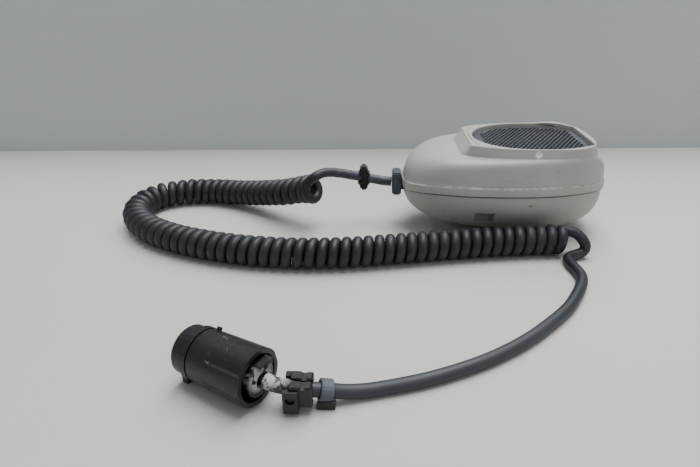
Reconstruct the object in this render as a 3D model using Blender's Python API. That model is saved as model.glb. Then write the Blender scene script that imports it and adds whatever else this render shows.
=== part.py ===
"""Hand microphone with a curly cord and a round screw-ring plug.

All lengths below are millimetres; meshes are written in metres. +Z is up, the
microphone lies on its back with the grille up and the cord end towards -X.
"""

import math

import bmesh
import bpy
from mathutils import Matrix, Vector

MM = 0.001
GAP = 0.3

# ---- microphone body -------------------------------------------------------
CORD_END_X = -50.93
FAR_END_X = 47.58
HALF_WIDTH = 29.2
END_HEIGHT = 22.85       # the seam at the two ends
SEAM_ARCH = 3.27         # the seam rises this much between them
BACK_HEIGHT = 1.0        # lowest point of the rear shell
FRONT_HEIGHT = 42.0      # front shell where the island starts
FRONT_SLOPE = 0.039      # it rises towards the far end
BELT_HEIGHT = 4.2
BELT_PROUD = 0.8
INNER_SCALE = (0.954, 0.92, 0.885)
INNER_CENTRE = (0.0, 0.0, 22.0)
MIC_SHIFT = (1.675, -0.255)   # centres the body and the talk bar on the origin
LAYOUT_SHIFT = 1.785          # the cord and the plug lie this much further along X

# ---- island and grille -----------------------------------------------------
ISLAND_TOP = 47.2
ISLAND_FOOT = 39.0
ISLAND_HALF_WIDTH = 24.1
ISLAND_CENTRE_X = 12.0
ISLAND_RAMP_X = -20.5
ISLAND_END_X = 39.0
ISLAND_DRAFT = 5.5
POCKET_FLOOR = 43.5
GRILLE_TOP = 45.4
GRILLE_TIP_X = -17.0
GRILLE_CUT_X = 36.0
GRILLE_WIDEST_X = 12.0
GRILLE_HALF_WIDTH = 22.6
GRILLE_CUT_HALF_WIDTH = 15.4
SOUND_HOLE_SCALE = 0.84

# ---- talk bar --------------------------------------------------------------
BAR_X = (-13.5, 29.5)
BAR_Z = (31.2, 39.2)
BAR_PROUD = 2.0
BAR_DEPTH = 3.2
WINDOW_CLEARANCE = 0.6
PIVOT = (-10.0, 23.6)
PIVOT_RADIUS = 0.8

# ---- cord ------------------------------------------------------------------
CORD_DIAMETER = 4.8
COIL_DIAMETER = 14.4
LEAD_ROUTE = (
    (-57.15, 0.0, 23.2), (-61.5, 0.0, 23.6), (-66.5, -0.2, 24.6), (-72.0, -0.7, 25.9),
    (-77.5, -1.5, 27.2), (-82.5, -2.8, 28.6), (-87.0, -4.6, 29.6), (-90.6, -6.6, 29.7),
)
COIL_ROUTE = (
    (-95.6, -7.6, 22.5), (-102.7, -4.6, 20.0), (-113.4, 2.1, 16.0), (-128.2, 12.6, 11.5),
    (-143.0, 21.4, 8.5), (-159.2, 26.6, 7.3), (-174.0, 26.0, 7.3), (-186.5, 20.8, 7.3),
    (-193.3, 10.5, 7.3), (-193.0, -4.0, 7.3), (-184.5, -18.0, 7.3), (-170.5, -29.5, 7.3),
    (-152.0, -38.6, 7.3), (-130.0, -45.4, 7.3), (-105.0, -49.0, 7.3), (-82.0, -48.6, 7.3),
    (-58.0, -45.0, 7.3), (-34.0, -40.8, 7.3), (-8.0, -37.6, 7.3), (12.0, -36.2, 7.3),
    (24.5, -36.4, 7.3),
)
TAIL_ROUTE = (
    (22.3, -43.9, 2.45), (23.4, -50.0, 2.45), (23.0, -58.8, 2.45), (19.7, -67.7, 2.45),
    (11.9, -80.4, 2.45), (5.1, -88.6, 2.45), (-1.9, -95.6, 2.45), (-8.1, -101.4, 2.45),
    (-14.7, -106.8, 2.45), (-21.6, -111.7, 2.45), (-28.9, -116.2, 2.45), (-37.5, -120.6, 2.45),
    (-47.7, -125.0, 2.45), (-57.5, -128.2, 2.45), (-67.0, -130.7, 2.45), (-74.5, -132.6, 3.5),
    (-81.0, -134.0, 5.3), (-87.2, -135.3, 6.7), (-93.0, -136.0, 8.3), (-96.2, -136.0, 9.2),
    (-98.6, -135.1, 9.7),
)

# ---- plug ------------------------------------------------------------------
PLUG_REAR = (-101.6, -133.8, 9.75)
PLUG_FRONT = (-127.3, -119.9, 9.75)
SLEEVE_RADIUS = (8.9, 9.5)
FLUTES = 6
CONTACT_COUNT = 6
CORD_SIDES = 3
COIL_SIDES = 4


# ---- small helpers ---------------------------------------------------------
def clear_scene():
    for obj in list(bpy.data.objects):
        bpy.data.objects.remove(obj, do_unlink=True)


def finish(name, colour, roughness, metallic=0.0):
    mat = bpy.data.materials.new(name)
    mat.use_nodes = True
    shader = mat.node_tree.nodes["Principled BSDF"]
    shader.inputs["Base Color"].default_value = (*colour, 1.0)
    shader.inputs["Roughness"].default_value = roughness
    shader.inputs["Metallic"].default_value = metallic
    return mat


def add_object(name, bm, mat=None, parent=None, smooth=True):
    """Turns a bmesh in millimetres into a named object in metres."""
    bmesh.ops.scale(bm, vec=(MM, MM, MM), verts=bm.verts)
    bmesh.ops.recalc_face_normals(bm, faces=bm.faces)
    mesh = bpy.data.meshes.new(name)
    bm.to_mesh(mesh)
    bm.free()
    if smooth:
        mesh.shade_smooth()
        mesh.set_sharp_from_angle(angle=math.radians(35))
    obj = bpy.data.objects.new(name, mesh)
    bpy.context.scene.collection.objects.link(obj)
    obj.parent = parent or bpy.data.objects["cord_layout"]
    if mat:
        mesh.materials.append(mat)
    return obj


def guide(name, bm, parent=None):
    """A cutter or an added shape: it only feeds a Boolean."""
    obj = add_object(name, bm, parent=parent, smooth=False)
    obj.hide_render = True
    obj.display_type = "WIRE"
    return obj


def boolean(target, tool, operation):
    step = target.modifiers.new(tool.name, "BOOLEAN")
    step.operation = operation
    step.solver = "EXACT"
    step.object = tool


def cut(target, *tools):
    for tool in tools:
        boolean(target, tool, "DIFFERENCE")


def join(target, *tools):
    for tool in tools:
        boolean(target, tool, "UNION")


def box(low, high):
    bm = bmesh.new()
    size = [h - l for l, h in zip(low, high)]
    centre = [(h + l) / 2 for l, h in zip(low, high)]
    bmesh.ops.create_cube(bm, size=1.0)
    bmesh.ops.scale(bm, vec=size, verts=bm.verts)
    bmesh.ops.translate(bm, vec=centre, verts=bm.verts)
    return bm


def soft_box(low, high, radius, segments=2):
    bm = box(low, high)
    bmesh.ops.bevel(bm, geom=list(bm.edges), offset=radius, segments=segments, affect="EDGES")
    return bm


def bridged(loops):
    """Closed body through equal loops of points, capped at both ends."""
    bm = bmesh.new()
    rings = [[bm.verts.new(p) for p in loop] for loop in loops]
    for low, high in zip(rings, rings[1:]):
        for i in range(len(low)):
            j = (i + 1) % len(low)
            bm.faces.new((low[i], low[j], high[j], high[i]))
    bm.faces.new(rings[0])
    bm.faces.new(rings[-1])
    return bm


def prism(outline, low, high):
    return bridged([[(x, y, z) for x, y in outline] for z in (low, high)])


def turned(profile, segments=24):
    """Spins (radius, height) points about Z; radius 0 at an end caps it flat."""
    bm = bmesh.new()
    rings = []
    for radius, height in profile:
        if radius > 0:
            turn = [2 * math.pi * (k + 0.5) / segments for k in range(segments)]
            rings.append([bm.verts.new((radius * math.cos(a), radius * math.sin(a), height)) for a in turn])
    if profile[0] == profile[-1]:
        for v in rings.pop():
            bm.verts.remove(v)
        rings.append(rings[0])
    else:
        bm.faces.new(rings[0])
        bm.faces.new(rings[-1])
    for a, b in zip(rings, rings[1:]):
        for i in range(segments):
            j = (i + 1) % segments
            bm.faces.new((a[i], a[j], b[j], b[i]))
    return bm


def cylinder(radius, low, high, x=0.0, y=0.0, segments=20):
    bm = turned(((0, low), (radius, low), (radius, high), (0, high)), segments)
    bmesh.ops.translate(bm, vec=(x, y, 0), verts=bm.verts)
    return bm


def placed(bm, matrix):
    bmesh.ops.transform(bm, matrix=matrix, verts=bm.verts)
    return bm


def smooth_route(route, count):
    """Evenly spaced points on a Catmull-Rom curve through the route."""
    pts = [Vector(p) for p in route]
    pts = [2 * pts[0] - pts[1]] + pts + [2 * pts[-1] - pts[-2]]
    fine = []
    for a, b, c, d in zip(pts, pts[1:], pts[2:], pts[3:]):
        for k in range(12):
            t = k / 12
            fine.append(0.5 * (2 * b + (c - a) * t + (2 * a - 5 * b + 4 * c - d) * t ** 2
                               + (3 * b - a - 3 * c + d) * t ** 3))
    fine.append(pts[-2])
    lengths = [0.0]
    for a, b in zip(fine, fine[1:]):
        lengths.append(lengths[-1] + (b - a).length)
    points = []
    k = 0
    for i in range(count):
        want = lengths[-1] * i / (count - 1)
        while k < len(fine) - 2 and lengths[k + 1] < want:
            k += 1
        part = (want - lengths[k]) / (lengths[k + 1] - lengths[k])
        points.append(fine[k].lerp(fine[k + 1], min(part, 1.0)))
    return points


def tube(name, route, count, diameter, resolution, mat):
    curve = bpy.data.curves.new(name, "CURVE")
    curve.dimensions = "3D"
    curve.bevel_depth = diameter / 2 * MM
    curve.bevel_resolution = resolution
    curve.use_fill_caps = True
    spline = curve.splines.new("POLY")
    points = smooth_route(route, count)
    spline.points.add(len(points) - 1)
    for target, p in zip(spline.points, points):
        target.co = (p.x * MM, p.y * MM, p.z * MM, 1.0)
    curve.materials.append(mat)
    obj = bpy.data.objects.new(name, curve)
    bpy.context.scene.collection.objects.link(obj)
    obj.parent = bpy.data.objects["cord_layout"]
    return obj


# ---- body form -------------------------------------------------------------
def lobe(x, left_start, left_reach, left_power, right_start, right_reach, right_power):
    """1 between the starts, rounding to 0 at each reach."""
    if x < left_start:
        share, power = (left_start - x) / left_reach, left_power
    elif x > right_start:
        share, power = (x - right_start) / right_reach, right_power
    else:
        return 1.0
    return max(0.0, 1.0 - share ** power) ** (1.0 / power)


def half_width(x):
    return HALF_WIDTH * lobe(x, 1.5, 52.43, 2.655, 1.5, 46.08, 2.229)


def seam_height(x):
    share = x / CORD_END_X if x < 0 else x / FAR_END_X
    return END_HEIGHT + SEAM_ARCH * (1.0 - min(1.0, share) ** 6)


def top_height(x):
    crown = FRONT_HEIGHT + FRONT_SLOPE * (x + 25.0)
    return END_HEIGHT + (crown - END_HEIGHT) * lobe(x, -27.5, 23.43, 3.05, 30.0, 17.58, 2.0)


def bottom_height(x):
    return END_HEIGHT - (END_HEIGHT - BACK_HEIGHT) * lobe(x, 10.0, 60.93, 2.45, 10.0, 37.58, 3.05)


def front_power(x):
    """Boxy along the middle, rounder towards the cord end."""
    share = min(1.0, max(0.0, (x - CORD_END_X) / 46.0))
    return 2.6 + 11.4 * share * share * (3 - 2 * share)


def section_point(x, turn):
    """Point of the section at x; turn runs once round from the +Y side."""
    across, up = math.cos(turn), math.sin(turn)
    power = front_power(x) if up >= 0 else 2.2
    rise = abs(up) ** (2 / power)
    y = half_width(x) * math.copysign(abs(across) ** (2 / power), across)
    seam = min(max(seam_height(x), bottom_height(x)), top_height(x))
    if up >= 0:
        return (x, y * (1 - 0.05 * rise), seam + (top_height(x) - seam) * rise)
    return (x, y, seam - (seam - bottom_height(x)) * rise)


def along_body(share):
    """X of a station; share runs from 1 at the cord end to -1 at the far end."""
    return (CORD_END_X + FAR_END_X) / 2 - share * (FAR_END_X - CORD_END_X) / 2


def body_loft(stations, around):
    loops = []
    for k in range(stations):
        x = along_body(0.9985 * math.cos(math.pi * (k + 0.35) / (stations - 0.3)))
        turns = [2 * math.pi * (i + 0.5) / around for i in range(around)]
        loops.append([section_point(x, a) for a in turns])
    return bridged(loops)


def inner_loft():
    scale = Matrix.Diagonal((*INNER_SCALE, 1.0))
    centre = Matrix.Translation(INNER_CENTRE)
    return placed(body_loft(24, 24), centre @ scale @ centre.inverted())


def belt_slab():
    """A slab along the seam that stands proud of both shells."""
    loops = []
    stations = 40
    for k in range(stations):
        turn = math.cos(math.pi * (k + 0.3) / (stations - 0.4))
        y = half_width(along_body(turn)) * (HALF_WIDTH + BELT_PROUD) / HALF_WIDTH + 0.15
        x = along_body(turn * 1.016)
        low = seam_height(x)
        loops.append([(x, -y, low), (x, y, low), (x, y, low + BELT_HEIGHT), (x, -y, low + BELT_HEIGHT)])
    return bridged(loops)


def seam_block(offset, far_height):
    """Everything on one side of the seam, to cut the other shell away."""
    stations = 32
    loops = []
    for k in range(stations):
        x = 56.0 * (2 * k / (stations - 1) - 1)
        z = seam_height(x) + offset
        loops.append([(x, -40, z), (x, 40, z), (x, 40, far_height), (x, -40, far_height)])
    return bridged(loops)


def island_outline(grow):
    """Plan of the raised island, wider by grow all round."""
    left, right = ISLAND_RAMP_X - grow * 1.35, ISLAND_END_X + grow * 0.4
    points = []
    count = 22
    for k in range(count + 1):
        x = left + (right - left) * math.sin(math.pi / 2 * k / count)
        if x < ISLAND_CENTRE_X:
            share = (ISLAND_CENTRE_X - x) / 44.7
            y = math.sqrt(1 - share * share)
        else:
            share = min(1.0, (x - ISLAND_CENTRE_X) / (right - ISLAND_CENTRE_X))
            y = (1 - share ** 3.4) ** 0.294
        points.append((x, y * (ISLAND_HALF_WIDTH + grow * 0.45)))
    return [(x, -y) for x, y in points] + [(x, y) for x, y in reversed(points[:-1])]


def grille_outline(scale=1.0, grow=0.0):
    """Leaf outline with a pointed tip and a straight cut end."""
    points = []
    count = 16
    for k in range(count + 1):
        x = GRILLE_TIP_X + (GRILLE_CUT_X - GRILLE_TIP_X) * (k / count) ** 1.6
        if x < GRILLE_WIDEST_X:
            share = (GRILLE_WIDEST_X - x) / (GRILLE_WIDEST_X - GRILLE_TIP_X)
            y = (1 - share ** 2.3) ** 0.48
        else:
            share = (x - GRILLE_WIDEST_X) / (GRILLE_CUT_X - GRILLE_WIDEST_X)
            y = 1 - (1 - GRILLE_CUT_HALF_WIDTH / GRILLE_HALF_WIDTH) * share ** 2.3
        points.append((x, y * GRILLE_HALF_WIDTH))
    loop = [(x, -y) for x, y in points] + [(x, y) for x, y in reversed(points[1:])]
    middle = (GRILLE_TIP_X + GRILLE_CUT_X) / 2
    sx = scale * (1 + 2 * grow / (GRILLE_CUT_X - GRILLE_TIP_X))
    sy = scale * (1 + grow / GRILLE_HALF_WIDTH)
    return [(middle + (x - middle) * sx, y * sy) for x, y in loop]


# ---- microphone pieces -----------------------------------------------------
HOUSING_SCREWS = ((-36.0, -9.0, 12.5), (-36.0, 9.0, 12.5), (31.0, -14.0, 9.6), (31.0, 14.0, 9.6))


def front_housing(mic, mat):
    shell = add_object("front_housing", body_loft(38, 40), mat, mic)
    join(shell, guide("belt_form", belt_slab(), mic))
    foot = [(x, y, ISLAND_FOOT) for x, y in island_outline(ISLAND_DRAFT)]
    rim = [(x, y, ISLAND_TOP - 0.8) for x, y in island_outline(0.3)]
    top = [(x, y, ISLAND_TOP) for x, y in island_outline(-0.5)]
    join(shell, guide("island_form", bridged([foot, rim, top]), mic))
    cut(shell, guide("front_cavity", inner_loft(), mic))
    for k, (x, y, seat) in enumerate(HOUSING_SCREWS):
        post = cylinder(3.0, 22.0, 40.2 if x < 0 else 42.2, x, y, 14)
        join(shell, guide(f"front_post_{k + 1}", post, mic))
    lug_low = box((-14.0, 21.0, 27.6), (-6.0, 26.6, BAR_Z[0] - 0.5))
    lug_high = box((-14.0, 21.0, BAR_Z[1] + 0.5), (-6.0, 24.6, 40.9))
    join(shell, guide("pivot_lug_low", lug_low, mic), guide("pivot_lug_high", lug_high, mic))
    cut(shell, guide("below_seam", seam_block(GAP / 2, -20.0), mic))
    pocket = prism(grille_outline(grow=0.4), POCKET_FLOOR, 52.0)
    sound = prism(grille_outline(SOUND_HOLE_SCALE), 33.0, 52.0)
    cut(shell, guide("grille_pocket", pocket, mic), guide("sound_hole", sound, mic))
    window_low = (BAR_X[0] - WINDOW_CLEARANCE, 18.4, BAR_Z[0] - 0.4)
    window_high = (BAR_X[1] + WINDOW_CLEARANCE, 35.0, BAR_Z[1] + 0.4)
    cut(shell, guide("bar_window", box(window_low, window_high), mic))
    for k, (x, y, seat) in enumerate(HOUSING_SCREWS):
        bore = cylinder(1.6, 18.0, 35.5, x, y, 12)
        cut(shell, guide(f"front_bore_{k + 1}", bore, mic))
    pin_bore = cylinder(PIVOT_RADIUS + GAP, 28.4, 40.4, *PIVOT, 12)
    cut(shell, guide("pivot_bore", pin_bore, mic))
    cut(shell, guide("cord_port_front", box((-58.0, -3.4, 10.0), (-42.0, 3.4, 26.7)), mic))
    return shell


def rear_housing(mic, mat):
    shell = add_object("rear_housing", body_loft(38, 40), mat, mic)
    cut(shell, guide("rear_cavity", inner_loft(), mic))
    within = placed(body_loft(24, 24), Matrix.Translation((0, 0, 0.4)) @ Matrix.Diagonal((0.98, 0.98, 0.98, 1.0)))
    limit = guide("post_limit", within, mic)
    for k, (x, y, seat) in enumerate(HOUSING_SCREWS):
        post = guide(f"rear_post_{k + 1}", cylinder(4.3, 1.5, seam_height(x), x, y, 16), mic)
        boolean(post, limit, "INTERSECT")
        join(shell, post)
    join(shell, guide("button_pad", cylinder(11.5, 2.2, 7.2, 0, 0, 24), mic))
    notch_block = guide("notch_block", box((-20.0, -27.6, 9.6), (-6.8, -18.0, 19.2)), mic)
    boolean(notch_block, limit, "INTERSECT")
    join(shell, notch_block)
    join(shell, guide("cord_saddle", box((-29.6, -8.6, 5.4), (-24.4, 8.6, 20.3)), mic))
    for k, side in enumerate((-1, 1)):
        post = cylinder(2.3, 19.0, 25.3, -27.0, side * 6.0, 14)
        join(shell, guide(f"saddle_post_{k + 1}", post, mic))
    cut(shell, guide("above_seam", seam_block(-GAP / 2, 60.0), mic))
    for k, (x, y, seat) in enumerate(HOUSING_SCREWS):
        well = turned(((0, -6), (3.1, -6), (3.1, seat), (1.6, seat), (1.6, 30), (0, 30)), 16)
        cut(shell, guide(f"screw_well_{k + 1}", placed(well, Matrix.Translation((x, y, 0))), mic))
    recess = turned(((0, -5), (9.0, -5), (9.0, 4.3), (1.6, 4.3), (1.6, 12), (0, 12)), 24)
    cut(shell, guide("button_recess", recess, mic))
    cut(shell, guide("latch_notch", box((-18.0, -40.0, 11.6), (-8.8, -21.9, 17.2)), mic))
    for k, side in enumerate((-1, 1)):
        bore = cylinder(1.2, 14.0, 30.0, -27.0, side * 6.0, 12)
        cut(shell, guide(f"saddle_bore_{k + 1}", bore, mic))
    cut(shell, guide("cord_port_rear", box((-58.0, -3.4, 19.5), (-42.0, 3.4, 30.0)), mic))
    return shell


def grille_set(mic, plate_mat, felt_mat):
    low = [(x, y, POCKET_FLOOR + GAP) for x, y in grille_outline()]
    high = [(x, y, GRILLE_TOP) for x, y in grille_outline()]
    add_object("grille", bridged([low, high]), plate_mat, mic)
    felt = prism(grille_outline(SOUND_HOLE_SCALE - 0.04), 42.0, POCKET_FLOOR - 0.1)
    add_object("grille_felt", felt, felt_mat, mic)


def capsule_set(mic, metal, rubber):
    seat = Matrix.Translation((12, -2.5, 0))
    boot = turned(((0, 30.0), (11.4, 30.0), (11.4, 39.9), (9.9, 39.9), (9.9, 31.4), (0, 31.4)))
    add_object("capsule_boot", placed(boot, seat), rubber, mic)
    can = turned(((0, 31.7), (9.0, 31.7), (9.5, 32.2), (9.5, 38.7), (9.0, 39.2), (0, 39.2)))
    add_object("microphone_capsule", placed(can, seat), metal, mic)


def board_set(mic, board_mat, black, tin, blue):
    board = soft_box((-22.0, -17.5, 27.0), (34.8, 17.5, 28.6), 0.2, 1)
    plate = add_object("circuit_board", board, board_mat, mic)
    for k, (x, y, seat) in enumerate(HOUSING_SCREWS[2:]):
        cut(plate, guide(f"board_hole_{k + 1}", cylinder(3.5, 20.0, 35.0, x, y, 14), mic))
    add_object("preamp_chip", soft_box((-14, -13, 28.9), (-4, -6, 30.9), 0.25, 1), black, mic)
    can = turned(((0, 28.9), (3.6, 28.9), (3.6, 36.2), (3.2, 36.6), (0, 36.6)), 18)
    add_object("coupling_capacitor", placed(can, Matrix.Translation((-15, 5, 0))), blue, mic)
    add_object("wire_terminal", soft_box((-18, -5, 20.7), (-12, 5, 26.7), 0.3, 1), tin, mic)


def talk_bar_outline():
    """Plan of the talk bar: its outer face follows the wall, standing proud."""
    outer, inner = [], []
    count = 14
    for k in range(count + 1):
        x = BAR_X[0] + (BAR_X[1] - BAR_X[0]) * k / count
        wall = half_width(x) * 0.975
        bulge = BAR_PROUD * (1 - abs(2 * k / count - 1) ** 4)
        outer.append((x, wall + 0.2 + bulge))
        inner.append((x, wall - BAR_DEPTH))
    return outer + inner[::-1]


def talk_bar(mic, rubber, steel, black):
    pivot = bpy.data.objects.new("talk_bar_axis", None)
    bpy.context.scene.collection.objects.link(pivot)
    pivot.parent = mic
    pivot.location = (PIVOT[0] * MM, PIVOT[1] * MM, 0)
    to_pivot = Matrix.Translation((-PIVOT[0], -PIVOT[1], 0))
    form = placed(prism(talk_bar_outline(), *BAR_Z), to_pivot)
    bar = add_object("talk_bar", form, rubber, pivot)
    lug = placed(box((-12.6, 21.6, BAR_Z[0] + 0.3), (-7.4, 26.0, BAR_Z[1] - 0.3)), to_pivot)
    join(bar, guide("talk_bar_lug", lug, pivot))
    bore = cylinder(PIVOT_RADIUS + GAP, 20.0, 50.0, 0, 0, 12)
    cut(bar, guide("talk_bar_bore", bore, pivot))
    pin = cylinder(PIVOT_RADIUS, 28.7, 40.1, *PIVOT, 12)
    add_object("talk_bar_pin", pin, steel, mic)
    leaf_path = ((3.0, 23.6), (9.0, 23.2), (13.0, 20.5), (16.5, 20.3))
    outer = [(x, y + 0.25) for x, y in leaf_path]
    inner = [(x, y - 0.25) for x, y in reversed(leaf_path)]
    leaf = placed(prism(outer + inner, 33.2, 37.2), to_pivot)
    add_object("talk_leaf_spring", leaf, steel, pivot)
    body = add_object("talk_switch", soft_box((8.0, 11.2, 32.2), (21.0, 17.4, 38.4), 0.3, 1), black, mic)
    cut(body, guide("switch_mouth", box((13.2, 12.6, 33.7), (16.8, 19.0, 36.9)), mic))
    plunger = soft_box((13.6, 14.6, 34.1), (16.4, 19.6, 36.5), 0.3, 1)
    add_object("talk_switch_plunger", plunger, rubber, mic)


def screw(name, mic, mat, x, y, head_low, head_height, tip, head_radius, radius):
    profile = ((0, head_low), (head_radius * 0.85, head_low), (head_radius, head_low + 0.5),
               (head_radius, head_low + head_height), (radius, head_low + head_height),
               (radius, tip - 1.0), (radius * 0.4, tip), (0, tip))
    add_object(name, placed(turned(profile, 14), Matrix.Translation((x, y, 0))), mat, mic)


def back_hardware(mic, metal, steel):
    profile = ((1.7, 1.6), (3.3, 0.0), (5.6, 0.0), (6.3, 0.6), (6.3, 1.7), (5.9, 2.2),
               (3.6, 2.4), (3.6, 4.0), (1.7, 4.0), (1.7, 1.6))
    add_object("hang_up_button", turned(profile, 28), metal, mic)
    head = ((0, 0.35), (2.3, 0.35), (1.25, 1.6), (1.25, 10.0), (0.5, 11.0), (0, 11.0))
    add_object("hang_up_screw", turned(head, 16), steel, mic)
    for k, (x, y, seat) in enumerate(HOUSING_SCREWS):
        screw(f"housing_screw_{k + 1}", mic, steel, x, y, seat - 2.5, 2.2, 34.0, 2.7, 1.25)


def cord_entry(mic, rubber, steel, cord_mat):
    block = soft_box((-56.7, -4.8, 17.4), (-52.1, 4.8, 29.2), 0.7)
    relief = add_object("strain_relief_block", block, rubber, mic)
    neck = box((-52.6, -3.0, 19.9), (-44.5, 3.0, 26.3))
    flange = box((-45.7, -4.4, 18.8), (-43.7, 4.4, 27.4))
    join(relief, guide("relief_neck", neck, mic), guide("relief_flange", flange, mic))
    stub = placed(cylinder(CORD_DIAMETER / 2, 0, 19.2, 0, 0, 12),
                  Matrix.Translation((-43.3, 0, 23.2)) @ Matrix.Rotation(math.pi / 2, 4, "Y"))
    add_object("cord_inner_end", stub, cord_mat, mic)
    bundle = placed(cylinder(1.3, 0, 5.0, 0, 0, 10),
                    Matrix.Translation((-23.6, 0, 23.2)) @ Matrix.Rotation(math.pi / 2, 4, "Y"))
    add_object("wire_bundle", bundle, steel, mic)
    bar = add_object("cord_anchor_bar", soft_box((-29.3, -8.4, 25.9), (-24.7, 8.4, 27.5), 0.3, 1), steel, mic)
    for k, side in enumerate((-1, 1)):
        cut(bar, guide(f"anchor_hole_{k + 1}", cylinder(1.4, 20, 30, -27.0, side * 6.0, 12), mic))
        profile = ((0, 15.5), (0.5, 15.5), (0.9, 16.3), (0.9, 27.8), (1.9, 27.8), (1.9, 28.8),
                   (1.4, 29.3), (0, 29.3))
        form = placed(turned(profile, 12), Matrix.Translation((-27.0, side * 6.0, 0)))
        add_object(f"cord_anchor_screw_{k + 1}", form, steel, mic)


# ---- cord and what is on it -------------------------------------------------
def cord_clip(mat):
    """Moulded clip round the lead: a head, a collar and a foot."""
    low = (-73.3, -3.9, 19.6)
    clip = add_object("cord_clip", soft_box(low, (-69.3, 3.1, 31.9), 0.9), mat)
    collar = soft_box((-74.4, -3.3, 22.2), (-68.2, 2.5, 28.9), 0.6)
    join(clip, guide("clip_collar", collar))
    run = Vector((-66.5, -0.2, 24.6)) - Vector((-77.5, -1.5, 27.2))
    middle = Vector((-72.0, -0.7, 25.85))
    turn = run.to_track_quat("Z", "Y").to_matrix().to_4x4()
    bore = placed(cylinder(CORD_DIAMETER / 2 + 0.45, -9, 9, 0, 0, 16), Matrix.Translation(middle) @ turn)
    cut(clip, guide("clip_bore", bore))


def tail_frame(point, ahead):
    """Matrix whose Z runs along the tail at a point and whose Y is level."""
    z = (Vector(ahead) - Vector(point)).normalized()
    y = Vector((0, 0, 1)).cross(z).normalized()
    x = y.cross(z)
    turn = Matrix((x, y, z)).transposed().to_4x4()
    return Matrix.Translation(point) @ turn


def clamp_pieces(black, band_mat):
    bore_radius = CORD_DIAMETER / 2 + GAP + 0.15
    at_band = tail_frame((-80.6, -133.9, 5.2), (-76.0, -132.95, 3.95))
    ring = ((bore_radius, -2.0), (3.4, -2.0), (3.6, -1.7), (3.6, 1.7), (3.4, 2.0), (bore_radius, 2.0),
            (bore_radius, -2.0))
    add_object("cord_band", placed(turned(ring, 18), at_band), band_mat)
    foot = box((-83.2, -137.2, 0.3), (-77.6, -132.6, 3.4))
    shoe = add_object("clamp_foot", foot, black)
    keep_off = placed(cylinder(3.6 + GAP, -9, 9, 0, 0, 18), at_band)
    cut(shoe, guide("foot_clearance", keep_off))
    at_jaw = tail_frame((-88.5, -135.45, 7.0), (-84.0, -134.65, 5.9))
    for name, side in (("clamp_jaw_front", -1), ("clamp_jaw_rear", 1)):
        y_near, y_far = -135.5 + side * 0.3, -135.5 + side * 4.0
        low = (-91.4, min(y_near, y_far), 2.8)
        jaw = add_object(name, soft_box(low, (-84.2, max(y_near, y_far), 10.6), 0.5, 1), black)
        ear_near, ear_far = -135.5 + side * 2.8, -135.5 + side * 5.0
        ear_low = (-93.0, min(ear_near, ear_far), 1.6 if side < 0 else 3.0)
        ear = box(ear_low, (-88.3, max(ear_near, ear_far), 9.6))
        join(jaw, guide(f"{name}_ear", ear))
        cut(jaw, guide(f"{name}_bore", placed(cylinder(bore_radius + 0.25, -15, 15, 0, 0, 16), at_jaw)))
        across = Matrix.Translation((-90.7, -135.5, 6.6)) @ Matrix.Rotation(math.pi / 2, 4, "X")
        recess = cylinder(1.5, min(-side * 4.2, -side * 9.0), max(-side * 4.2, -side * 9.0), 0, 0, 16)
        cut(jaw, guide(f"{name}_nut_recess", placed(recess, across)))
        notch = box((-87.6, -143.0, 9.9), (-86.2, -128.0, 13.0))
        cut(jaw, guide(f"{name}_notch", notch))


def plug_frame():
    """Empty at the cable end of the plug; its Z runs to the mating end."""
    frame = bpy.data.objects.new("plug_axis", None)
    bpy.context.scene.collection.objects.link(frame)
    frame.parent = bpy.data.objects["cord_layout"]
    frame.location = Vector(PLUG_REAR) * MM
    along = Vector(PLUG_FRONT) - Vector(PLUG_REAR)
    frame.rotation_mode = "QUATERNION"
    frame.rotation_quaternion = along.to_track_quat("Z", "Y")
    return frame


def fluted_sleeve():
    """Coupling ring whose grip widens in steps towards the cable end."""
    sides = 72
    loops = []
    heights = ((-0.6, 0.3), (0.6, 0.7), (12.4, 0.7), (14.4, 0.0), (21.4, 0.0))
    for z, lift in heights:
        share = min(1.0, max(0.0, (21.4 - z) / 22.0))
        base = SLEEVE_RADIUS[0] + (SLEEVE_RADIUS[1] - SLEEVE_RADIUS[0]) * share - lift
        loop = []
        for k in range(sides):
            angle = 2 * math.pi * k / sides
            phase = (k * FLUTES / sides) % 1.0
            step = lift * (1.0 if phase < 0.62 else 0.25)
            loop.append(((base + step) * math.cos(angle), (base + step) * math.sin(angle), z))
        loops.append(loop)
    return bridged(loops)


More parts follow.
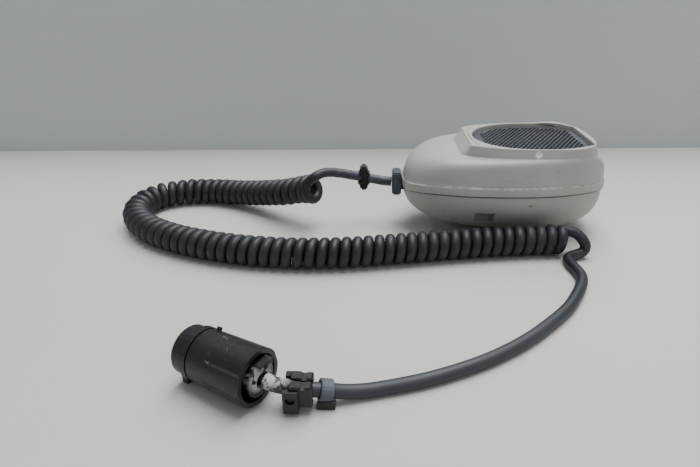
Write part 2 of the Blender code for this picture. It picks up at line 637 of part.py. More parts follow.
def plug(black, dark, gold, rubber):
    frame = plug_frame()
    body_profile = ((2.75, -2.2), (5.2, -2.2), (5.9, -1.6), (5.9, 3.6), (7.6, 4.2), (7.6, 21.8),
                    (9.1, 21.8), (9.1, 24.2), (7.9, 24.2), (7.9, 24.9), (8.3, 24.9), (8.3, 28.3),
                    (7.8, 29.0), (6.9, 29.0), (6.9, 15.0), (4.0, 13.2), (2.75, 12.2), (2.75, -2.2))
    body = add_object("plug_body", turned(body_profile, 32), black, frame)
    join(body, guide("body_rear_block", box((-4.2, 4.0, -3.4), (1.6, 6.2, 3.0)), frame))
    join(body, guide("body_front_lug", box((2.4, -9.3, 25.2), (6.0, -6.2, 27.6)), frame))
    sleeve = add_object("coupling_ring", fluted_sleeve(), black, frame)
    cut(sleeve, guide("ring_bore", cylinder(7.9, -5, 40, 0, 0, 32), frame))
    join(sleeve, guide("ring_index_knob", cylinder(0.9, 8.2, 10.0, 0, 0, 10), frame))
    knob = bpy.data.objects["ring_index_knob"]
    knob.rotation_euler = (-math.pi / 2, 0, math.radians(38))
    knob.location = (0, 0, 19.6 * MM)
    insert_profile = ((0, 16.1), (6.0, 16.1), (6.4, 16.7), (6.4, 27.0), (6.1, 27.4), (0, 27.4))
    insert = add_object("plug_insert", turned(insert_profile, 24), dark, frame)
    cut(insert, guide("insert_keyway", box((-0.8, 5.4, 22.0), (0.8, 8.0, 30.0)), frame))
    for k in range(CONTACT_COUNT):
        angle = 2 * math.pi * (k + 0.5) / CONTACT_COUNT
        x, y = 4.1 * math.cos(angle), 4.1 * math.sin(angle)
        cut(insert, guide(f"insert_hole_{k + 1}", cylinder(1.15, 10, 35, x, y, 10), frame))
        ring = ((0.45, 16.6), (0.8, 16.6), (0.8, 26.8), (0.45, 26.8), (0.45, 16.6))
        form = placed(turned(ring, 10), Matrix.Translation((x, y, 0)))
        add_object(f"plug_contact_{k + 1}", form, gold, frame)
    core = ((0, 3.0), (2.4, 3.0), (2.4, 10.4), (1.6, 11.8), (0, 11.8))
    add_object("plug_wire_core", turned(core, 16), rubber, frame)


# ---- assembly ---------------------------------------------------------------
def build():
    clear_scene()
    grey = finish("warm_grey_plastic", (0.56, 0.55, 0.51), 0.45)
    slate = finish("slate_plastic", (0.07, 0.08, 0.10), 0.5)
    rubber = finish("slate_rubber", (0.05, 0.06, 0.08), 0.65)
    black = finish("black_plastic", (0.015, 0.016, 0.018), 0.4)
    cord_mat = finish("cord_jacket", (0.03, 0.035, 0.045), 0.55)
    steel = finish("zinc_steel", (0.62, 0.62, 0.6), 0.35, 1.0)
    gold = finish("gold_contact", (0.83, 0.65, 0.3), 0.3, 1.0)
    green = finish("circuit_board", (0.05, 0.22, 0.1), 0.4)
    felt = finish("black_felt", (0.02, 0.02, 0.02), 0.95)
    blue = finish("capacitor_sleeve", (0.05, 0.09, 0.3), 0.35)

    layout = bpy.data.objects.new("cord_layout", None)
    bpy.context.scene.collection.objects.link(layout)
    layout.location = (LAYOUT_SHIFT * MM, 0, 0)
    mic = bpy.data.objects.new("microphone", None)
    bpy.context.scene.collection.objects.link(mic)
    mic.location = (MIC_SHIFT[0] * MM, MIC_SHIFT[1] * MM, 0)

    front_housing(mic, grey)
    rear_housing(mic, grey)
    grille_set(mic, slate, felt)
    capsule_set(mic, steel, rubber)
    board_set(mic, green, black, slate, blue)
    talk_bar(mic, rubber, steel, black)
    back_hardware(mic, steel, steel)
    cord_entry(mic, rubber, steel, cord_mat)

    tube("cord_lead", LEAD_ROUTE, 10, CORD_DIAMETER, CORD_SIDES, cord_mat)
    tube("cord_coil", COIL_ROUTE, 48, COIL_DIAMETER, COIL_SIDES, cord_mat)
    tube("cord_tail", TAIL_ROUTE, 34, CORD_DIAMETER, CORD_SIDES, cord_mat)
    cord_clip(black)
    clamp_pieces(black, slate)
    plug(black, slate, gold, rubber)


build()
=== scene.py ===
"""Hand microphone: warm grey two-part shell, slate grille, curly cord and round screw-ring plug.

Lengths are millimetres unless a line says metres. The shells are laid out about the microphone's own
middle, and moved by MIC_SHIFT; the cord's route is moved by LAYOUT_SHIFT.
"""

import math
import random

import bpy
import numpy as np
from mathutils import Matrix, Vector


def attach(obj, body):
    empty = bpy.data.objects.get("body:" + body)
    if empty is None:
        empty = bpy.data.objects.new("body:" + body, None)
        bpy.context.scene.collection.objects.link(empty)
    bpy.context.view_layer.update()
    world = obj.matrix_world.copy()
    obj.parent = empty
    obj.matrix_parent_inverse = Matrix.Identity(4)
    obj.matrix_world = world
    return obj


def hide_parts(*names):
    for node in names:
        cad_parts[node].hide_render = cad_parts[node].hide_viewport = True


MM = 0.001
HALF_LENGTH = 49.3
HALF_WIDTH = 29.2
CORD_END, FAR_END = -50.93, 47.58
END_HEIGHT = 22.85
SEAM_ARCH = 3.27
BELT_TOP = 30.2
PARTING_TOP = 25.8
ISLAND_TOP = 47.2
ISLAND_EDGE = 46.4
POCKET_FLOOR = 43.5
WALL_THICKNESS = 2.3
MIC_SHIFT = (1.675, -0.255)
LAYOUT_SHIFT = 1.785
CORD_RADIUS = 2.4

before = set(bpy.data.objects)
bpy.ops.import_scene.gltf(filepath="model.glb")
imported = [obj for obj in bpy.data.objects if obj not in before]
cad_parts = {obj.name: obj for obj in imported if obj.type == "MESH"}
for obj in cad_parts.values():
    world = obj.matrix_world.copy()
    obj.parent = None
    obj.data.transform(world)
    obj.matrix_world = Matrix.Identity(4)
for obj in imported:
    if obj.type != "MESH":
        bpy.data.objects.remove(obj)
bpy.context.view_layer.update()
random.seed(7)


# ---------------------------------------------------------------- camera
def set_camera():
    """Looks down on the bench past the curly cord to the microphone."""
    pitch, yaw, roll = math.radians(26.25), math.radians(-2.99), math.radians(1.19)
    ahead = Vector((math.sin(yaw) * math.cos(pitch), math.cos(yaw) * math.cos(pitch), -math.sin(pitch)))
    right = Vector((math.cos(yaw), -math.sin(yaw), 0))
    down = ahead.cross(right)
    side = math.cos(roll) * right + math.sin(roll) * down
    under = math.cos(roll) * down - math.sin(roll) * right
    data = bpy.data.cameras.new("view")
    data.sensor_width = 36.0
    data.lens = 27.26
    data.clip_start = 0.01
    camera = bpy.data.objects.new("view", data)
    bpy.context.scene.collection.objects.link(camera)
    turn = Matrix((side, -under, -ahead)).transposed().to_4x4()
    camera.matrix_world = Matrix.Translation((-0.0638, -0.2587, 0.1207)) @ turn
    bpy.context.scene.camera = camera


set_camera()


# ---------------------------------------------------------------- shader maths
class Signal:
    """One socket of a material, with the operators that add Math nodes."""

    def __init__(self, mat, socket):
        self.mat = mat
        self.socket = socket

    def maths(self, operation, *values):
        return self.mat.node("ShaderNodeMath", {"operation": operation}, dict(enumerate(values)))

    def __add__(self, other):
        return self.maths("ADD", self, other)

    def __sub__(self, other):
        return self.maths("SUBTRACT", self, other)

    def __rsub__(self, other):
        return self.maths("SUBTRACT", other, self)

    def __mul__(self, other):
        return self.maths("MULTIPLY", self, other)

    def __truediv__(self, other):
        return self.maths("DIVIDE", self, other)

    def __rtruediv__(self, other):
        return self.maths("DIVIDE", other, self)

    __radd__ = __add__
    __rmul__ = __mul__

    def above(self, low, high):
        """0 below low, 1 above high, straight between."""
        return self.mat.node("ShaderNodeMapRange", {"clamp": True},
                             {"Value": self, "From Min": low, "From Max": high}, "Result")

    def power(self, value):
        return self.maths("POWER", self, value)

    def largest(self, other):
        return self.maths("MAXIMUM", self, other)

    def size(self):
        """The value without its sign."""
        return self.maths("ABSOLUTE", self)


class Finish:
    """A procedural material built node by node."""

    def __init__(self, name):
        self.material = bpy.data.materials.new(name)
        self.material.use_nodes = True
        self.tree = self.material.node_tree
        self.shader = self.tree.nodes["Principled BSDF"]

    def put(self, socket, value):
        if isinstance(value, Signal):
            self.tree.links.new(value.socket, socket)
        elif isinstance(value, (tuple, list)) and socket.type == "RGBA" and len(value) == 3:
            socket.default_value = (*value, 1.0)
        else:
            socket.default_value = value

    def node(self, kind, settings=None, values=None, output=0):
        made = self.tree.nodes.new(kind)
        for key, value in (settings or {}).items():
            setattr(made, key, value)
        for key, value in (values or {}).items():
            self.put(made.inputs[key], value)
        return Signal(self, made.outputs[output])

    def place(self):
        return self.node("ShaderNodeTexCoord", output="Object")

    def along(self):
        """The cord's own U and V."""
        return self.node("ShaderNodeUVMap", output="UV")

    def stretched(self, coords, scale, shift=(0, 0, 0), turn=(0, 0, 0)):
        return self.node("ShaderNodeMapping", None,
                         {"Vector": coords, "Scale": scale, "Location": shift, "Rotation": turn})

    def split(self, vector):
        """The X, Y and Z of a vector."""
        first = self.node("ShaderNodeSeparateXYZ", None, {0: vector})
        return [Signal(self, socket) for socket in first.socket.node.outputs]

    def noise(self, coords, scale, detail=4.0, rough=0.55, distort=0.0):
        return self.node("ShaderNodeTexNoise", {"noise_dimensions": "3D"},
                         {"Vector": coords, "Scale": scale, "Detail": detail, "Roughness": rough,
                          "Distortion": distort})

    def cells(self, coords, scale, feature="F1"):
        return self.node("ShaderNodeTexVoronoi", {"feature": feature}, {"Vector": coords, "Scale": scale},
                         "Distance")

    def blend(self, share, low, high):
        """Low where share is 0, high where it is 1; sockets 6, 7 and 2 are the Mix node's colours."""
        return self.node("ShaderNodeMix", {"data_type": "RGBA"}, {0: share, 6: low, 7: high}, 2)

    def bump(self, height, strength, distance, under=None):
        values = {"Height": height, "Strength": strength, "Distance": distance}
        if under is not None:
            values["Normal"] = under
        return self.node("ShaderNodeBump", None, values)

    def set(self, **values):
        names = {"colour": "Base Color", "rough": "Roughness", "metal": "Metallic", "normal": "Normal",
                 "specular": "Specular IOR Level", "sheen": "Sheen Weight", "coat": "Coat Weight",
                 "coat_rough": "Coat Roughness", "bleed": "Subsurface Weight"}
        for key, value in values.items():
            self.put(self.shader.inputs[names[key]], value)
        return self.material


# ---------------------------------------------------------------- finishes
def spot(fin, coords, centre, radii):
    """A soft-edged blob at one place, 1 inside and 0 outside."""
    steps = [((part - middle * MM) / (reach * MM)).power(2.0)
             for part, middle, reach in zip(fin.split(coords), centre, radii)]
    return 1.0 - (steps[0] + steps[1] + steps[2]).above(0.35, 1.0)


def shell_plastic(name, front_dirt_and_highlight):
    """Aged warm grey moulding: fine texture, handling dirt, hair scratches, a few scuffs; a painted highlight
    on the front, and on the rear painted shade low down and a painted shadow under the belt.
    """
    fin = Finish(name)
    here = fin.place()
    cloudy = fin.noise(here, 38.0, 5.0, 0.6)
    specks = fin.noise(here, 900.0, 2.0, 0.7).above(0.66, 0.76)
    colour = fin.blend(cloudy.above(0.35, 0.7), (0.335, 0.330, 0.300), (0.395, 0.390, 0.357))
    colour = fin.blend(specks * 0.25, colour, (0.2, 0.19, 0.17))
    smear = fin.noise(fin.stretched(here, (1.0, 2.6, 3.4), (3, 1, 2), (0.2, 0.5, 0.3)), 95.0, 6.0, 0.7)
    grime = smear.above(0.55, 0.78) * fin.noise(here, 22.0).above(0.45, 0.62)
    colour = fin.blend(grime * 0.45, colour, (0.3, 0.28, 0.24))
    lines = fin.stretched(here, (60.0, 340.0, 900.0), (0, 0, 0), (0.25, 0.12, 0.1))
    hair = fin.noise(lines, 1.0, 3.0, 0.5).above(0.665, 0.70)
    gate = fin.noise(here, 55.0).above(0.5, 0.62)
    colour = fin.blend(hair * gate * 0.3, colour, (0.36, 0.34, 0.30))
    x, y, z = fin.split(here)
    depth = None
    bend = (x / (HALF_LENGTH * MM)).size().power(6.0) * (SEAM_ARCH * MM)
    if front_dirt_and_highlight:
        seam = (z - BELT_TOP * MM) + bend
        line = 1.0 - (seam.size() / (0.32 * MM)).above(0.3, 1.0)
        broken = fin.noise(fin.stretched(here, (300.0, 60.0, 60.0)), 1.6, 3.0, 0.6).above(0.42, 0.6)
        colour = fin.blend(line * broken * 0.6, colour, (0.17, 0.11, 0.09))
        scuffs = (((-29.0, -21.0, 39.5), (3.0, 3.0, 0.8)), ((18.0, -28.0, 37.6), (2.6, 2.4, 0.5)),
                  ((24.0, -28.0, 36.6), (2.2, 2.4, 0.45)), ((26.0, -28.0, 32.5), (2.0, 2.4, 0.5)),
                  ((-36.0, -18.0, 35.0), (1.6, 2.0, 0.5)), ((6.0, -28.5, 36.0), (1.4, 2.0, 0.4)),
                  ((-2.0, -28.5, 33.5), (2.4, 2.0, 0.5)), ((33.0, -25.0, 38.0), (1.4, 2.0, 0.4)))
        for centre, radii in scuffs:
            mark = spot(fin, here, centre, radii)
            mark = mark * fin.noise(here, 800.0, 3.0, 0.7).above(0.42, 0.56)
            colour = fin.blend(mark * 0.6, colour, (0.2, 0.19, 0.18))
            depth = mark if depth is None else depth.largest(mark)
        # Painted highlight: a near-white patch on the near side of the island's wall, standing in for a glint
        # of light there.
        painted_highlight = spot(fin, here, (10.2, -25.4, 45.0), (1.9, 2.4, 2.0))
        painted_highlight = painted_highlight * fin.noise(here, 420.0, 3.0, 0.7).above(0.36, 0.56)
        colour = fin.blend(painted_highlight * 0.9, colour, (0.80, 0.79, 0.74))
    else:
        red = spot(fin, here, (8.6, -28.0, 21.6), (1.5, 3.0, 0.45))
        red = red * fin.noise(here, 900.0, 2.0).above(0.4, 0.55)
        colour = fin.blend(red * 0.95, colour, (0.12, 0.01, 0.01))
        # Painted shade: the rear shell's colour darkens over its lowest 12 mm, towards the bench.
        under = 1.0 - (z / (12.0 * MM)).above(0.0, 1.0)
        colour = fin.blend(under * 0.25, colour, (0.28, 0.27, 0.24))
        # Painted shadow: a dark band just under the parting edge, standing in for the shadow under the belt's
        # lip.
        seam = (z - PARTING_TOP * MM) + bend
        colour = fin.blend(seam.above(-0.0006, -0.0001) * 0.8, colour, (0.09, 0.088, 0.08))
    grain = fin.noise(here, 2600.0, 2.0, 0.6)
    pits = fin.cells(here, 1500.0).above(0.0, 0.5)
    relief = grain * 0.5 + pits * 0.5 - hair * gate * 0.6
    if depth is not None:
        relief = relief - depth * 2.0
    rough = cloudy * 0.16 + 0.40 + grime * 0.12 - hair * 0.06
    normal = fin.bump(relief, 0.16, 0.0001)
    return fin.set(colour=colour, rough=rough, normal=normal, specular=0.42)


def slate_grille():
    """Dark slate moulding with a dusty, worn top."""
    fin = Finish("slate_grille_plastic")
    here = fin.place()
    dusty = fin.noise(here, 60.0, 5.0, 0.65)
    fine = fin.noise(here, 1800.0, 2.0, 0.6)
    colour = fin.blend(dusty.above(0.4, 0.72), (0.020, 0.024, 0.032), (0.046, 0.052, 0.065))
    x, y, z = fin.split(here)
    tip = 1.0 - ((x + 16.0 * MM) / (18.0 * MM)).above(0.2, 1.0)
    colour = fin.blend(tip * 0.25, colour, (0.075, 0.085, 0.10))
    colour = fin.blend(fine.above(0.62, 0.72) * 0.4, colour, (0.2, 0.2, 0.2))
    return fin.set(colour=colour, rough=dusty * 0.2 + 0.38, normal=fin.bump(fine, 0.2, 0.0001), specular=0.5)


def cord_rubber():
    """Blue-black jacket with a slow sheen, dust and pale scuffs; U runs along it, V round it."""
    fin = Finish("cord_jacket_rubber")
    here = fin.place()
    broad = fin.noise(here, 34.0, 4.0, 0.6)
    colour = fin.blend(broad.above(0.35, 0.7), (0.0055, 0.0068, 0.0088), (0.0125, 0.0150, 0.0190))
    dust = fin.noise(here, 420.0, 6.0, 0.72).above(0.52, 0.72) * fin.noise(here, 70.0, 3.0).above(0.42, 0.6)
    colour = fin.blend(dust * 0.3, colour, (0.085, 0.088, 0.09))
    worn = fin.noise(fin.stretched(fin.along(), (900.0, 5.0, 1.0)), 1.0, 4.0, 0.6).above(0.55, 0.72)
    colour = fin.blend(worn * 0.14, colour, (0.10, 0.105, 0.11))
    x, y, z = fin.split(here)
    lead = ((x + 95.0 * MM) / (25.0 * MM)).above(0.0, 1.0) * (z / (1.0 * MM)).above(19.0, 22.0)
    tail = 1.0 - ((y + 100.0 * MM) / (25.0 * MM)).above(0.0, 1.0)
    colour = fin.blend(lead * 0.55, colour, (0.052, 0.062, 0.085))
    colour = fin.blend(tail * 0.4, colour, (0.045, 0.05, 0.06))
    marks = fin.noise(here, 240.0, 4.0, 0.65).above(0.57, 0.63) * lead
    colour = fin.blend(marks * 0.35, colour, (0.22, 0.24, 0.27))
    crust_at = spot(fin, here, (-97.0, -135.2, 10.5), (8.0, 6.0, 5.5))
    crust = crust_at * fin.noise(here, 330.0, 4.0, 0.6).above(0.44, 0.52)
    colour = fin.blend(crust * 0.9, colour, (0.50, 0.50, 0.48))
    skin = fin.noise(here, 1300.0, 3.0, 0.6)
    rough = broad * 0.2 + 0.42 + dust * 0.2 + crust * 0.35
    relief = skin * 0.5 + dust * 0.5 + crust * 1.5
    return fin.set(colour=colour, rough=rough, normal=fin.bump(relief, 0.22, 0.00012), specular=0.5)


def slate_rubber(name, light=0.0):
    """Moulded slate-blue rubber with a faint bloom."""
    fin = Finish(name)
    here = fin.place()
    bloom = fin.noise(here, 160.0, 5.0, 0.65)
    fine = fin.noise(here, 1900.0, 2.0, 0.6)
    colour = fin.blend(bloom.above(0.4, 0.7), (0.040 + light, 0.050 + light, 0.070 + light),
                       (0.072 + light, 0.084 + light, 0.108 + light))
    colour = fin.blend(fine.above(0.62, 0.74) * 0.3, colour, (0.2, 0.21, 0.22))
    return fin.set(colour=colour, rough=bloom * 0.2 + 0.45, normal=fin.bump(fine, 0.25, 0.0001), specular=0.4)


def black_moulding():
    """Satin black engineering plastic with dust in the hollows and soft scratches."""
    fin = Finish("black_satin_plastic")
    here = fin.place()
    cloudy = fin.noise(here, 90.0, 5.0, 0.6)
    colour = fin.blend(cloudy.above(0.35, 0.75), (0.0022, 0.0024, 0.0026), (0.0055, 0.0058, 0.0062))
    dust = fin.noise(here, 520.0, 5.0, 0.7).above(0.56, 0.74)
    colour = fin.blend(dust * 0.2, colour, (0.05, 0.052, 0.05))
    lines = fin.stretched(here, (500.0, 120.0, 900.0), (0, 0, 0), (0.5, 0.2, 0.4))
    hair = fin.noise(lines, 1.0, 3.0).above(0.68, 0.72)
    colour = fin.blend(hair * 0.35, colour, (0.12, 0.12, 0.12))
    crust_at = spot(fin, here, (-98.5, -135.0, 11.0), (6.5, 5.5, 5.0))
    crust = crust_at * fin.noise(here, 330.0, 4.0, 0.6).above(0.42, 0.52)
    colour = fin.blend(crust * 0.85, colour, (0.5, 0.5, 0.48))
    fine = fin.noise(here, 1600.0, 2.0, 0.6)
    rough = cloudy * 0.2 + 0.30 + dust * 0.25 + crust * 0.4
    return fin.set(colour=colour, rough=rough, normal=fin.bump(fine + dust * 0.5, 0.18, 0.0001), specular=0.5)


def bright_metal(name, tint=(0.62, 0.62, 0.6)):
    """Plated steel with faint turning marks and dull patches."""
    fin = Finish(name)
    here = fin.place()
    rings = fin.noise(fin.stretched(here, (1.0, 1.0, 9.0)), 600.0, 3.0, 0.6)
    dull = fin.noise(here, 220.0, 4.0, 0.6)
    dark = tuple(c * 0.6 for c in tint)
    colour = fin.blend(dull.above(0.4, 0.75), tint, dark)
    return fin.set(colour=colour, rough=dull * 0.3 + 0.18, metal=1.0, normal=fin.bump(rings, 0.12, 0.00006))


def felt_cloth():
    """Pressed black felt: short tangled fibres."""
    fin = Finish("pressed_felt")
    here = fin.place()
    fibre = fin.noise(fin.stretched(here, (1.0, 3.0, 1.0)), 1400.0, 4.0, 0.7, 1.2)
    tangle = fin.noise(fin.stretched(here, (3.0, 1.0, 1.0)), 1100.0, 4.0, 0.7, 1.4)
    mix = fibre * 0.5 + tangle * 0.5
    colour = fin.blend(mix.above(0.35, 0.7), (0.004, 0.004, 0.005), (0.022, 0.022, 0.024))
    return fin.set(colour=colour, rough=0.95, normal=fin.bump(mix, 0.7, 0.0003), specular=0.15)


def board_laminate():
    """Green laminate with copper traces under the mask."""
    fin = Finish("green_board_laminate")
    here = fin.place()
    weave = fin.node("ShaderNodeTexWave", {"wave_type": "BANDS"},
                     {"Vector": here, "Scale": 260.0, "Distortion": 0.6}, "Fac")
    trace = fin.cells(fin.stretched(here, (1.0, 1.6, 0.2)), 210.0, "DISTANCE_TO_EDGE").above(0.03, 0.06)
    colour = fin.blend(1.0 - trace, (0.012, 0.085, 0.035), (0.05, 0.17, 0.07))
    colour = fin.blend(weave * 0.15, colour, (0.03, 0.12, 0.05))
    return fin.set(colour=colour, rough=weave * 0.1 + 0.3, normal=fin.bump(trace, 0.3, 0.0001))


def sleeve_film():
    """Shrunk blue film over the capacitor can."""
    fin = Finish("blue_sleeve_film")
    here = fin.place()
    patch_tone = fin.noise(here, 300.0, 3.0)
    colour = fin.blend(patch_tone, (0.02, 0.035, 0.16), (0.03, 0.06, 0.26))
    return fin.set(colour=colour, rough=patch_tone * 0.2 + 0.2, normal=fin.bump(patch_tone, 0.1, 0.0001))


def bench_top():
    """Plain pale bench with a very faint unevenness."""
    fin = Finish("pale_bench")
    here = fin.place()
    tone = fin.noise(here, 6.0, 4.0, 0.6)
    colour = fin.blend(tone, (0.50, 0.492, 0.465), (0.545, 0.535, 0.505))
    return fin.set(colour=colour, rough=0.6, specular=0.3)


FRONT_PLASTIC = shell_plastic("warm_grey_front_shell", True)
REAR_PLASTIC = shell_plastic("warm_grey_rear_shell", False)
GRILLE_PLASTIC = slate_grille()
JACKET = cord_rubber()
GLAND_RUBBER = slate_rubber("slate_gland_rubber")
BAR_RUBBER = slate_rubber("slate_bar_rubber")
BAND_RUBBER = slate_rubber("blue_band_rubber", 0.02)
BLACK = black_moulding()
METAL = bright_metal("plated_steel")
GOLD = bright_metal("gold_contact_plate", (0.83, 0.62, 0.28))
FELT = felt_cloth()
BOARD = board_laminate()
FILM = sleeve_film()


# ---------------------------------------------------------------- modelling helpers
def deselect():
    if bpy.context.object and bpy.context.object.mode != "OBJECT":
        bpy.ops.object.mode_set(mode="OBJECT")
    bpy.ops.object.select_all(action="DESELECT")


def added(name, operator, **settings):
    """Adds one primitive and returns it under its own name."""
    deselect()
    operator(**settings)
    obj = bpy.context.object
    obj.name = name
    obj.data.name = name
    return obj


def only(obj):
    deselect()
    obj.select_set(True)
    bpy.context.view_layer.objects.active = obj


def edit(obj):
    only(obj)
    bpy.ops.object.mode_set(mode="EDIT")


def done(obj):
    bpy.ops.object.mode_set(mode="OBJECT")
    return obj


def settle(obj):
    """Bakes place, turn and size into the mesh."""
    only(obj)
    bpy.ops.object.transform_apply(location=True, rotation=True, scale=True)
    return obj


def apply_modifiers(obj):
    only(obj)
    for step in list(obj.modifiers):
        bpy.ops.object.modifier_apply(modifier=step.name)
    return obj


def faces_out(obj):
    edit(obj)
    bpy.ops.mesh.select_all(action="SELECT")
    bpy.ops.mesh.remove_doubles(threshold=0.000001)
    bpy.ops.mesh.normals_make_consistent(inside=False)
    return done(obj)


def smooth(obj, degrees=35):
    only(obj)
    bpy.ops.object.shade_smooth_by_angle(angle=math.radians(degrees))
    return obj


def coat(obj, material, body="microphone", stands_for=()):
    obj.data.materials.clear()
    obj.data.materials.append(material)
    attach(obj, body)
    if stands_for:
        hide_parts(*stands_for)
    return obj


def rounded(obj, width, segments=3, degrees=40):
    step = obj.modifiers.new("edge", "BEVEL")
    step.width = width * MM
    step.segments = segments
    step.limit_method = "ANGLE"
    step.angle_limit = math.radians(degrees)
    return apply_modifiers(obj)


def cut_with(obj, tool, operation="DIFFERENCE"):
    step = obj.modifiers.new("cut", "BOOLEAN")
    step.operation = operation
    step.solver = "EXACT"
    step.object = tool
    apply_modifiers(obj)
    bpy.data.objects.remove(tool, do_unlink=True)
    return obj


def block(name, low, high):
    """A cube primitive at its size and place, in millimetres."""
    middle = [(a + b) / 2 * MM for a, b in zip(low, high)]
    obj = added(name, bpy.ops.mesh.primitive_cube_add, size=1.0, location=middle)
    obj.scale = [(b - a) * MM for a, b in zip(low, high)]
    return settle(obj)


def rod(name, radius, low, high, x=0.0, y=0.0, sides=48):
    return settle(added(name, bpy.ops.mesh.primitive_cylinder_add, vertices=sides, radius=radius * MM,
                        depth=(high - low) * MM, location=(x * MM, y * MM, (low + high) / 2 * MM)))


def skin(name, rings, shut=False):
    """A grid primitive whose rows are laid on rings of points, its last column sewn to the first."""
    rows, count = len(rings), len(rings[0])
    obj = added(name, bpy.ops.mesh.primitive_grid_add, x_subdivisions=count, y_subdivisions=rows - 1,
                size=1.0)
    verts = obj.data.vertices
    for r, row in enumerate(rings):
        for k in range(count + 1):
            p = row[k % count]
            verts[r * (count + 1) + k].co = (p[0] * MM, p[1] * MM, p[2] * MM)
    obj.data.update()
    if shut:
        edit(obj)
        bpy.ops.mesh.select_all(action="SELECT")
        bpy.ops.mesh.remove_doubles(threshold=0.000001)
        bpy.ops.mesh.select_all(action="DESELECT")
        bpy.ops.mesh.select_non_manifold()
        bpy.ops.mesh.edge_face_add()
        done(obj)
    return faces_out(obj)


# ---------------------------------------------------------------- the cord
def smooth_route(route, count):
    """Evenly spaced points on a Catmull-Rom curve through the route."""
    pts = [Vector(p) for p in route]
    pts = [2 * pts[0] - pts[1]] + pts + [2 * pts[-1] - pts[-2]]
    fine = []
    for a, b, c, d in zip(pts, pts[1:], pts[2:], pts[3:]):
        for k in range(16):
            t = k / 16
            fine.append(0.5 * (2 * b + (c - a) * t + (2 * a - 5 * b + 4 * c - d) * t ** 2
                               + (3 * b - a - 3 * c + d) * t ** 3))
    fine.append(pts[-2])
    at = [0.0]
    for a, b in zip(fine, fine[1:]):
        at.append(at[-1] + (b - a).length)
    points, k = [], 0
    for i in range(count):
        want = at[-1] * i / (count - 1)
        while k < len(fine) - 2 and at[k + 1] < want:
            k += 1
        points.append(fine[k].lerp(fine[k + 1], min((want - at[k]) / (at[k + 1] - at[k]), 1.0)))
    return points


LEAD = ((-57.15, 0.0, 23.2), (-61.5, 0.0, 23.6), (-66.5, -0.2, 24.6), (-72.0, -0.7, 25.9),
        (-77.5, -1.5, 27.2), (-82.5, -2.8, 28.6), (-87.0, -4.6, 29.8))
COIL = ((-95.6, -7.9, 22.3), (-100.0, -4.5, 20.7), (-105.8, -1.2, 18.8), (-113.4, 3.2, 16.0),
        (-128.2, 13.2, 11.5), (-143.0, 21.4, 8.5), (-159.2, 26.6, 7.3), (-174.0, 26.0, 7.3),
        (-186.5, 20.8, 7.3), (-193.3, 10.5, 7.3), (-193.0, -4.0, 7.3), (-184.5, -18.0, 7.3),
        (-170.5, -29.5, 7.3), (-152.0, -38.6, 7.3), (-130.0, -45.4, 7.3), (-105.0, -49.0, 7.3),
        (-82.0, -48.6, 7.3), (-58.0, -45.0, 7.3), (-34.0, -40.8, 7.3), (-8.0, -37.0, 7.3),
        (12.0, -35.0, 7.3), (25.0, -34.6, 7.6))
LAST_LOOP = ((26.6, -36.2, 11.2), (29.6, -38.2, 8.6), (31.0, -39.0, 5.4), (29.4, -39.6, 3.0),
             (25.6, -41.0, 2.45))
TAIL = ((22.4, -43.6, 2.45), (21.6, -48.4, 2.45), (22.6, -58.8, 2.45), (19.7, -67.7, 2.45),
        (11.9, -80.4, 2.45), (5.1, -88.6, 2.45), (-1.9, -95.6, 2.45), (-8.1, -101.4, 2.45),
        (-14.7, -106.8, 2.45), (-21.6, -111.7, 2.45), (-28.9, -116.2, 2.45), (-37.5, -120.6, 2.45),
        (-47.7, -125.0, 2.45), (-57.5, -128.2, 2.45), (-67.0, -130.7, 2.45), (-74.5, -132.6, 3.5),
        (-81.0, -134.0, 5.3), (-87.2, -135.3, 6.7), (-93.0, -136.0, 8.3), (-96.2, -136.0, 9.2),
        (-98.8, -135.0, 9.7))
TURN_RADIUS, OPEN_END_EXTRA = 4.8, 1.9
TURN_PITCH = 5.0
POINTS_A_TURN = 20
UNEVEN_TURNS = 120


def coil_points():
    """A helix about the coil's route, wider at the lead's end, looser there and at the bend."""
    axis = smooth_route(COIL, 1200)
    at = [0.0]
    for a, b in zip(axis, axis[1:]):
        at.append(at[-1] + (b - a).length)
    wobble = [random.uniform(-1, 1) for _ in range(UNEVEN_TURNS)]
    points, s, turn, k = [], 0.0, math.radians(70), 0
    while s < at[-1]:
        while k < len(at) - 2 and at[k + 1] < s:
            k += 1
        centre = axis[k].lerp(axis[k + 1], (s - at[k]) / (at[k + 1] - at[k]))
        ahead = (axis[min(k + 6, len(axis) - 1)] - axis[max(k - 5, 0)]).normalized()
        across = ahead.cross(Vector((0, 0, 1))).normalized()
        up = across.cross(ahead)
        turns = turn / (2 * math.pi)
        before, after = wobble[int(turns) % UNEVEN_TURNS], wobble[int(turns + 1) % UNEVEN_TURNS]
        unit = before * (1 - turns % 1) + after * (turns % 1)
        radius = TURN_RADIUS + OPEN_END_EXTRA * math.exp(-turns / 0.7) + 0.10 * unit
        points.append(centre + radius * (math.cos(turn) * across + math.sin(turn) * up))
        open_up = 1.1 * math.exp(-(((s - 118) / 26) ** 2)) + 0.5 * math.exp(-(((s - 20) / 16) ** 2))
        pitch = TURN_PITCH + open_up + 0.12 * unit
        turn += 2 * math.pi / POINTS_A_TURN
        s += pitch / POINTS_A_TURN
    while math.sin(turn) < 0.96:
        points.pop()
        turn -= 2 * math.pi / POINTS_A_TURN
    return points


def strand():
    """The whole cord in one run of points, joined smoothly at both ends of the coil."""
    lead = smooth_route(LEAD, 22)
    coil = coil_points()
    tail = smooth_route([tuple(coil[-2]), tuple(coil[-1])] + list(LAST_LOOP) + list(TAIL), 150)
    join = smooth_route([tuple(lead[-2]), tuple(lead[-1]), (-91.4, -7.2, 30.4), (-95.6, -10.4, 29.4),
                         tuple(coil[4]), tuple(coil[5])], 24)
    return [p + Vector((LAYOUT_SHIFT, 0, 0)) for p in lead[:-2] + join[:-2] + coil[5:-2] + tail]


